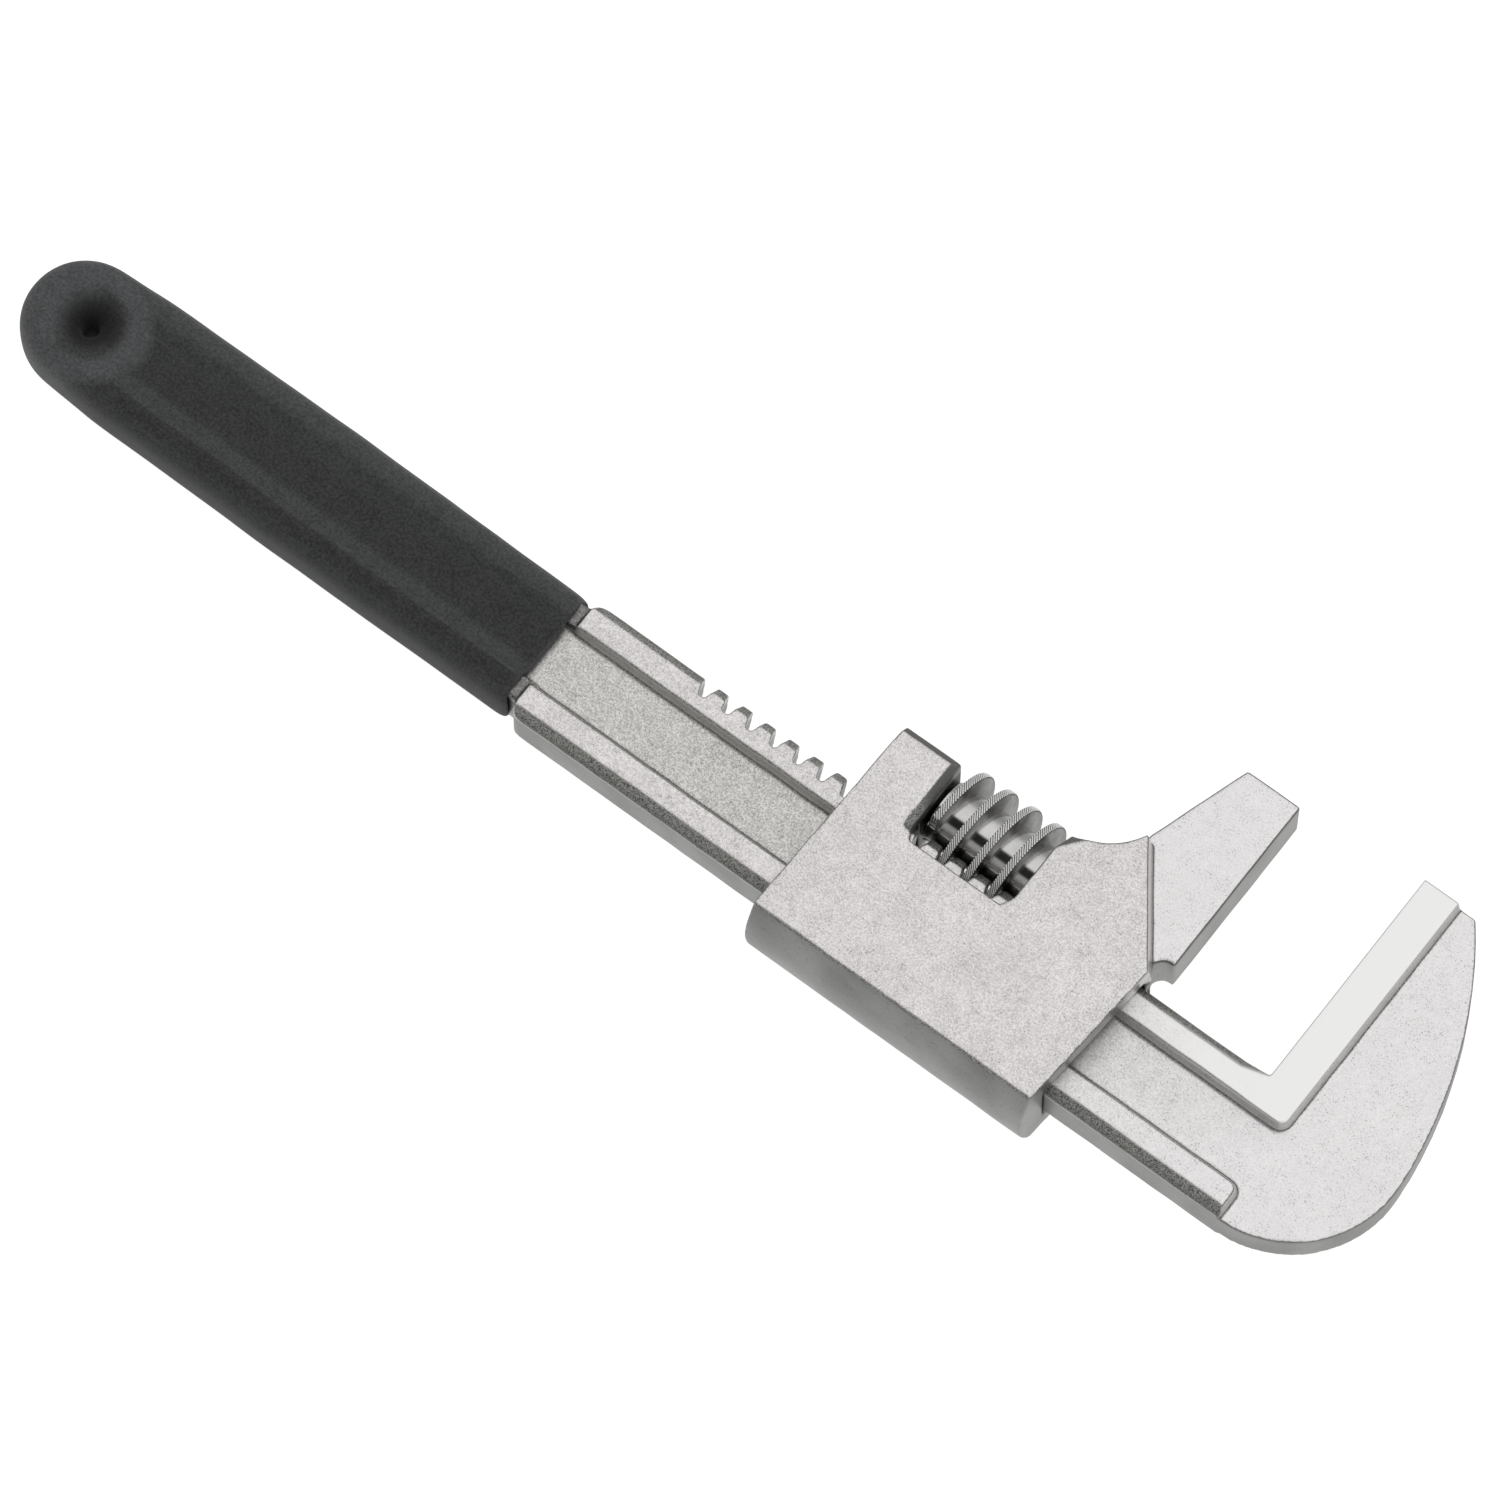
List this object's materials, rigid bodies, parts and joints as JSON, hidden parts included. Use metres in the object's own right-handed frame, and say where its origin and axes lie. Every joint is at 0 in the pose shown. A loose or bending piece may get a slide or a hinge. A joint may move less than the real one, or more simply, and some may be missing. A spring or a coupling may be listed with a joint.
{
  "type": "adjustable wrench",
  "caption": "Motor-type adjustable wrench: a worm moves a sliding jaw along a toothed I-section bar with a hooked fixed jaw and a dip-coated grip.",
  "frame": {"origin": "centre of the hanging hole in the grip, halfway through the thickness", "axes": "+X along the bar from the hanging hole to the jaws, +Y towards the side the jaws open on, +Z square to the flat faces"},
  "size_m": [0.2823, 0.0753, 0.02],
  "materials": {
    "forged_steel": "satin nickel plate over a fine shot-blasted forging",
    "polished_steel": "turned and polished, with serrated thread crests",
    "pin_steel": "dark oiled steel",
    "spring_steel": "drawn spring wire",
    "dipped_vinyl": "matt charcoal dip coating"
  },
  "bodies": {
    "bar": {"fixed_jaw_bar": "forged_steel", "grip": "dipped_vinyl"},
    "slider": {"sliding_jaw": "forged_steel", "worm_pin": "pin_steel", "worm_spring": "spring_steel"},
    "worm": {"adjusting_worm": "polished_steel"}
  },
  "joints": [
    {"name": "jaw_slide", "type": "slide", "parent": "bar", "child": "slider", "axis": [1, 0, 0], "range_m": [-0.04, 0.0242]},
    {"name": "worm_spin", "type": "hinge", "parent": "slider", "child": "worm", "pos_m": [0.1778, 0.0189, 0], "axis": [1, 0, 0], "range_deg": [-1760, 2900]}
  ],
  "couplings": [
    {"joint": "worm_spin", "follows": "jaw_slide", "rad_per_m": -1256.6}
  ]
}
